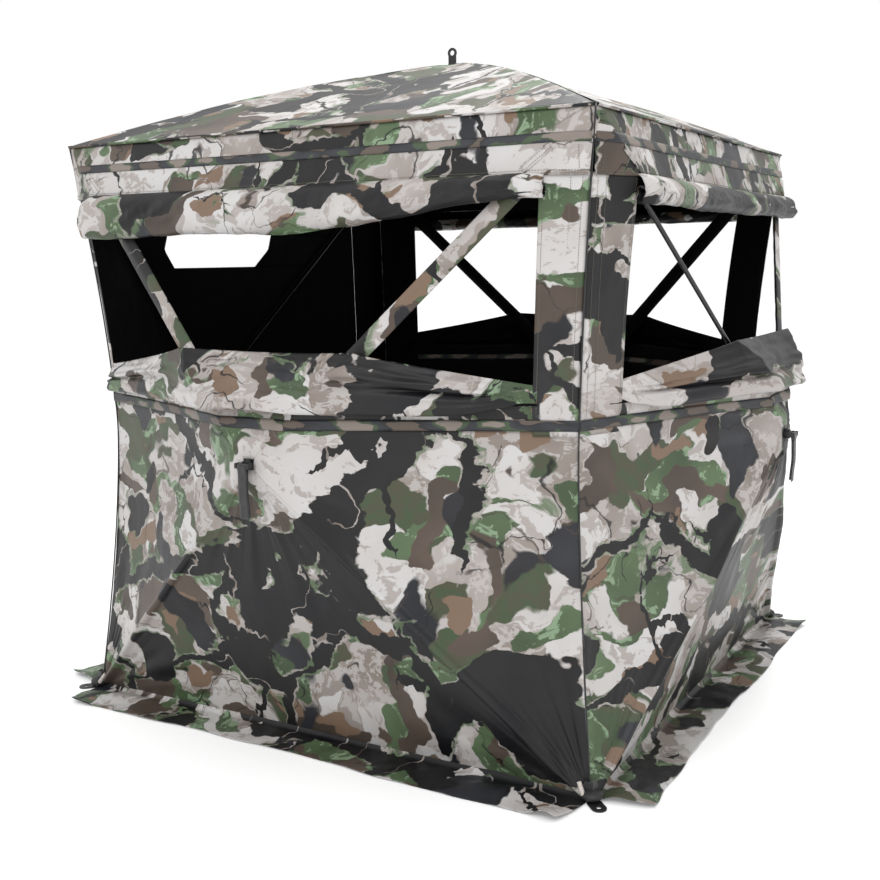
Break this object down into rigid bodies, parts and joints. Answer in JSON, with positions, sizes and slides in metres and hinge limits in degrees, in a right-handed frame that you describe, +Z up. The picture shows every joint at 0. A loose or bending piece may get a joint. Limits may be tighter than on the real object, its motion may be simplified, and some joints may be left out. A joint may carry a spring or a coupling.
{
  "type": "pop up ground blind",
  "caption": "Square hub-style hunting blind with pushed-out walls and roof, window openings on several sides, a ground skirt, pull straps and a hinged door panel.",
  "frame": {"origin": "on the ground at the middle of the blind, below the roof hub", "axes": "+Z up, the front wall faces -Y, the right wall +X, the back wall +Y and the left wall with the door -X"},
  "size_m": [1.976, 1.976, 1.765],
  "materials": {
    "camo_cloth": "matte coated polyester with a printed leaf and bark pattern",
    "brush_webbing": "printed webbing",
    "black_webbing": "matte webbing",
    "hub_black": "moulded nylon",
    "fibreglass": "smooth black rod"
  },
  "bodies": {
    "shell": {"left_wall_panel": "camo_cloth", "corner_posts": "camo_cloth", "eave_valance": "camo_cloth", "brush_straps": "brush_webbing", "roof_canopy": "camo_cloth", "ground_skirt": "camo_cloth", "corner_boots": "black_webbing", "front_wall_panel": "camo_cloth", "right_wall_panel": "camo_cloth", "back_wall_panel": "camo_cloth", "front_window_roll": "camo_cloth", "right_window_roll": "camo_cloth", "back_window_roll": "camo_cloth", "front_lower_flap": "camo_cloth", "right_lower_flap": "camo_cloth", "back_lower_flap": "camo_cloth"},
    "door_post": {"door_post": "camo_cloth"},
    "door": {"door_panel": "camo_cloth"},
    "front_hub": {"front_hub": "hub_black", "front_hub_patch": "camo_cloth"},
    "front_strap": {"front_pull_strap": "black_webbing"},
    "front_rod_upper_left": {"front_rod_upper_left": "fibreglass", "front_sleeve_left": "camo_cloth"},
    "front_rod_upper_right": {"front_rod_upper_right": "fibreglass", "front_sleeve_right": "camo_cloth"},
    "front_rod_lower_left": {"front_rod_lower_left": "fibreglass"},
    "front_rod_lower_right": {"front_rod_lower_right": "fibreglass"},
    "right_hub": {"right_hub": "hub_black", "right_hub_patch": "camo_cloth"},
    "right_strap": {"right_pull_strap": "black_webbing"},
    "right_rod_upper_left": {"right_rod_upper_left": "fibreglass"},
    "right_rod_upper_right": {"right_rod_upper_right": "fibreglass", "right_sleeve_right": "camo_cloth"},
    "right_rod_lower_left": {"right_rod_lower_left": "fibreglass"},
    "right_rod_lower_right": {"right_rod_lower_right": "fibreglass"},
    "back_hub": {"back_hub": "hub_black", "back_hub_patch": "camo_cloth"},
    "back_strap": {"back_pull_strap": "black_webbing"},
    "back_rod_upper_left": {"back_rod_upper_left": "fibreglass", "back_sleeve_left": "camo_cloth"},
    "back_rod_upper_right": {"back_rod_upper_right": "fibreglass", "back_sleeve_right": "camo_cloth"},
    "back_rod_lower_left": {"back_rod_lower_left": "fibreglass"},
    "back_rod_lower_right": {"back_rod_lower_right": "fibreglass"},
    "left_hub": {"left_hub": "hub_black", "left_hub_patch": "camo_cloth"},
    "left_strap": {"left_pull_strap": "black_webbing"},
    "left_rod_upper_left": {"left_rod_upper_left": "fibreglass"},
    "left_rod_upper_right": {"left_rod_upper_right": "fibreglass"},
    "left_rod_lower_left": {"left_rod_lower_left": "fibreglass"},
    "left_rod_lower_right": {"left_rod_lower_right": "fibreglass"},
    "roof_hub": {"roof_hub": "hub_black", "roof_hub_patch": "camo_cloth", "roof_pull_tab": "black_webbing"},
    "roof_rod_front_left": {"roof_rod_front_left": "fibreglass"},
    "roof_rod_front_right": {"roof_rod_front_right": "fibreglass"},
    "roof_rod_back_left": {"roof_rod_back_left": "fibreglass"},
    "roof_rod_back_right": {"roof_rod_back_right": "fibreglass"}
  },
  "joints": [
    {"name": "front_hub_pop", "type": "slide", "parent": "shell", "child": "front_hub", "axis": [0, 1, 0], "range_m": [0, 0.444], "deforming": ["front_hub_patch"]},
    {"name": "front_strap_swing", "type": "hinge", "parent": "front_hub", "child": "front_strap", "pos_m": [0, -0.982, 0.725], "axis": [-1, 0, 0], "range_deg": [-8, 90]},
    {"name": "front_rod_upper_left_turn", "type": "hinge", "parent": "front_hub", "child": "front_rod_upper_left", "pos_m": [-0.021, -0.944, 0.74643], "axis": [0.7142, 0, 0.7], "range_deg": [-0.05, 24.49]},
    {"name": "front_rod_upper_right_turn", "type": "hinge", "parent": "front_hub", "child": "front_rod_upper_right", "pos_m": [0.021, -0.944, 0.74643], "axis": [0.7142, 0, -0.7], "range_deg": [-0.05, 24.49]},
    {"name": "front_rod_lower_left_turn", "type": "hinge", "parent": "front_hub", "child": "front_rod_lower_left", "pos_m": [-0.02143, -0.944, 0.704], "axis": [-0.6998, 0, 0.7143], "range_deg": [-0.05, 24.99]},
    {"name": "front_rod_lower_right_turn", "type": "hinge", "parent": "front_hub", "child": "front_rod_lower_right", "pos_m": [0.02143, -0.944, 0.704], "axis": [-0.6998, 0, -0.7143], "range_deg": [-0.05, 24.99]},
    {"name": "right_hub_pop", "type": "slide", "parent": "shell", "child": "right_hub", "axis": [-1, 0, 0], "range_m": [0, 0.444], "deforming": ["right_hub_patch"]},
    {"name": "right_strap_swing", "type": "hinge", "parent": "right_hub", "child": "right_strap", "pos_m": [0.982, 0, 0.725], "axis": [0, -1, 0], "range_deg": [-8, 90]},
    {"name": "right_rod_upper_left_turn", "type": "hinge", "parent": "right_hub", "child": "right_rod_upper_left", "pos_m": [0.944, -0.021, 0.74643], "axis": [0, 0.7142, 0.7], "range_deg": [-0.05, 24.49]},
    {"name": "right_rod_upper_right_turn", "type": "hinge", "parent": "right_hub", "child": "right_rod_upper_right", "pos_m": [0.944, 0.021, 0.74643], "axis": [0, 0.7142, -0.7], "range_deg": [-0.05, 24.49]},
    {"name": "right_rod_lower_left_turn", "type": "hinge", "parent": "right_hub", "child": "right_rod_lower_left", "pos_m": [0.944, -0.02143, 0.704], "axis": [0, -0.6998, 0.7143], "range_deg": [-0.05, 24.99]},
    {"name": "right_rod_lower_right_turn", "type": "hinge", "parent": "right_hub", "child": "right_rod_lower_right", "pos_m": [0.944, 0.02143, 0.704], "axis": [0, -0.6998, -0.7143], "range_deg": [-0.05, 24.99]},
    {"name": "back_hub_pop", "type": "slide", "parent": "shell", "child": "back_hub", "axis": [0, -1, 0], "range_m": [0, 0.444], "deforming": ["back_hub_patch"]},
    {"name": "back_strap_swing", "type": "hinge", "parent": "back_hub", "child": "back_strap", "pos_m": [0, 0.982, 0.725], "axis": [1, 0, 0], "range_deg": [-8, 90]},
    {"name": "back_rod_upper_left_turn", "type": "hinge", "parent": "back_hub", "child": "back_rod_upper_left", "pos_m": [0.021, 0.944, 0.74643], "axis": [-0.7142, 0, 0.7], "range_deg": [-0.05, 24.49]},
    {"name": "back_rod_upper_right_turn", "type": "hinge", "parent": "back_hub", "child": "back_rod_upper_right", "pos_m": [-0.021, 0.944, 0.74643], "axis": [-0.7142, 0, -0.7], "range_deg": [-0.05, 24.49]},
    {"name": "back_rod_lower_left_turn", "type": "hinge", "parent": "back_hub", "child": "back_rod_lower_left", "pos_m": [0.02143, 0.944, 0.704], "axis": [0.6998, 0, 0.7143], "range_deg": [-0.05, 24.99]},
    {"name": "back_rod_lower_right_turn", "type": "hinge", "parent": "back_hub", "child": "back_rod_lower_right", "pos_m": [-0.02143, 0.944, 0.704], "axis": [0.6998, 0, -0.7143], "range_deg": [-0.05, 24.99]},
    {"name": "left_hub_pop", "type": "slide", "parent": "shell", "child": "left_hub", "axis": [1, 0, 0], "range_m": [0, 0.444], "deforming": ["left_hub_patch"]},
    {"name": "left_strap_swing", "type": "hinge", "parent": "left_hub", "child": "left_strap", "pos_m": [-0.982, 0, 0.725], "axis": [0, 1, 0], "range_deg": [-8, 90]},
    {"name": "left_rod_upper_left_turn", "type": "hinge", "parent": "left_hub", "child": "left_rod_upper_left", "pos_m": [-0.944, 0.021, 0.74643], "axis": [0, -0.7142, 0.7], "range_deg": [-0.05, 24.49]},
    {"name": "left_rod_upper_right_turn", "type": "hinge", "parent": "left_hub", "child": "left_rod_upper_right", "pos_m": [-0.944, -0.021, 0.74643], "axis": [0, -0.7142, -0.7], "range_deg": [-0.05, 24.49]},
    {"name": "left_rod_lower_left_turn", "type": "hinge", "parent": "left_hub", "child": "left_rod_lower_left", "pos_m": [-0.944, 0.02143, 0.704], "axis": [0, 0.6998, 0.7143], "range_deg": [-0.05, 24.99]},
    {"name": "left_rod_lower_right_turn", "type": "hinge", "parent": "left_hub", "child": "left_rod_lower_right", "pos_m": [-0.944, -0.02143, 0.704], "axis": [0, 0.6998, -0.7143], "range_deg": [-0.05, 24.99]},
    {"name": "roof_hub_pop", "type": "slide", "parent": "shell", "child": "roof_hub", "axis": [0, 0, -1], "range_m": [0, 0.455], "deforming": ["roof_hub_patch"]},
    {"name": "roof_rod_front_left_turn", "type": "hinge", "parent": "roof_hub", "child": "roof_rod_front_left", "pos_m": [-0.02121, -0.02121, 1.693], "axis": [-0.7071, 0.7071, 0], "range_deg": [-0.05, 25.93]},
    {"name": "roof_rod_front_right_turn", "type": "hinge", "parent": "roof_hub", "child": "roof_rod_front_right", "pos_m": [0.02121, -0.02121, 1.693], "axis": [-0.7071, -0.7071, 0], "range_deg": [-0.05, 25.93]},
    {"name": "roof_rod_back_left_turn", "type": "hinge", "parent": "roof_hub", "child": "roof_rod_back_left", "pos_m": [-0.02121, 0.02121, 1.693], "axis": [0.7071, 0.7071, 0], "range_deg": [-0.05, 25.93]},
    {"name": "roof_rod_back_right_turn", "type": "hinge", "parent": "roof_hub", "child": "roof_rod_back_right", "pos_m": [0.02121, 0.02121, 1.693], "axis": [0.7071, -0.7071, 0], "range_deg": [-0.05, 25.93]},
    {"name": "door_post_turn", "type": "hinge", "parent": "shell", "child": "door_post", "pos_m": [-0.741, 0.7365, 0.7], "axis": [0, 0, 1], "range_deg": [-0.05, 33.5]},
    {"name": "door_swing", "type": "hinge", "parent": "door_post", "child": "door", "pos_m": [-0.77983, 0.6213, 0.7], "axis": [0, 0, -1], "range_deg": [0, 110]}
  ],
  "couplings": [
    {"joint": "front_rod_upper_left_turn", "follows": "front_hub_pop", "rad_per_m": 0.95879},
    {"joint": "front_rod_upper_right_turn", "follows": "front_hub_pop", "rad_per_m": 0.95879},
    {"joint": "front_rod_lower_left_turn", "follows": "front_hub_pop", "rad_per_m": 0.97839},
    {"joint": "front_rod_lower_right_turn", "follows": "front_hub_pop", "rad_per_m": 0.97839},
    {"joint": "right_rod_upper_left_turn", "follows": "right_hub_pop", "rad_per_m": 0.95879},
    {"joint": "right_rod_upper_right_turn", "follows": "right_hub_pop", "rad_per_m": 0.95879},
    {"joint": "right_rod_lower_left_turn", "follows": "right_hub_pop", "rad_per_m": 0.97839},
    {"joint": "right_rod_lower_right_turn", "follows": "right_hub_pop", "rad_per_m": 0.97839},
    {"joint": "back_rod_upper_left_turn", "follows": "back_hub_pop", "rad_per_m": 0.95879},
    {"joint": "back_rod_upper_right_turn", "follows": "back_hub_pop", "rad_per_m": 0.95879},
    {"joint": "back_rod_lower_left_turn", "follows": "back_hub_pop", "rad_per_m": 0.97839},
    {"joint": "back_rod_lower_right_turn", "follows": "back_hub_pop", "rad_per_m": 0.97839},
    {"joint": "left_rod_upper_left_turn", "follows": "left_hub_pop", "rad_per_m": 0.95879},
    {"joint": "left_rod_upper_right_turn", "follows": "left_hub_pop", "rad_per_m": 0.95879},
    {"joint": "left_rod_lower_left_turn", "follows": "left_hub_pop", "rad_per_m": 0.97839},
    {"joint": "left_rod_lower_right_turn", "follows": "left_hub_pop", "rad_per_m": 0.97839},
    {"joint": "roof_rod_front_left_turn", "follows": "roof_hub_pop", "rad_per_m": 0.99064},
    {"joint": "roof_rod_front_right_turn", "follows": "roof_hub_pop", "rad_per_m": 0.99064},
    {"joint": "roof_rod_back_left_turn", "follows": "roof_hub_pop", "rad_per_m": 0.99064},
    {"joint": "roof_rod_back_right_turn", "follows": "roof_hub_pop", "rad_per_m": 0.99064},
    {"joint": "door_post_turn", "follows": "left_hub_pop", "rad_per_m": 1.3129}
  ]
}
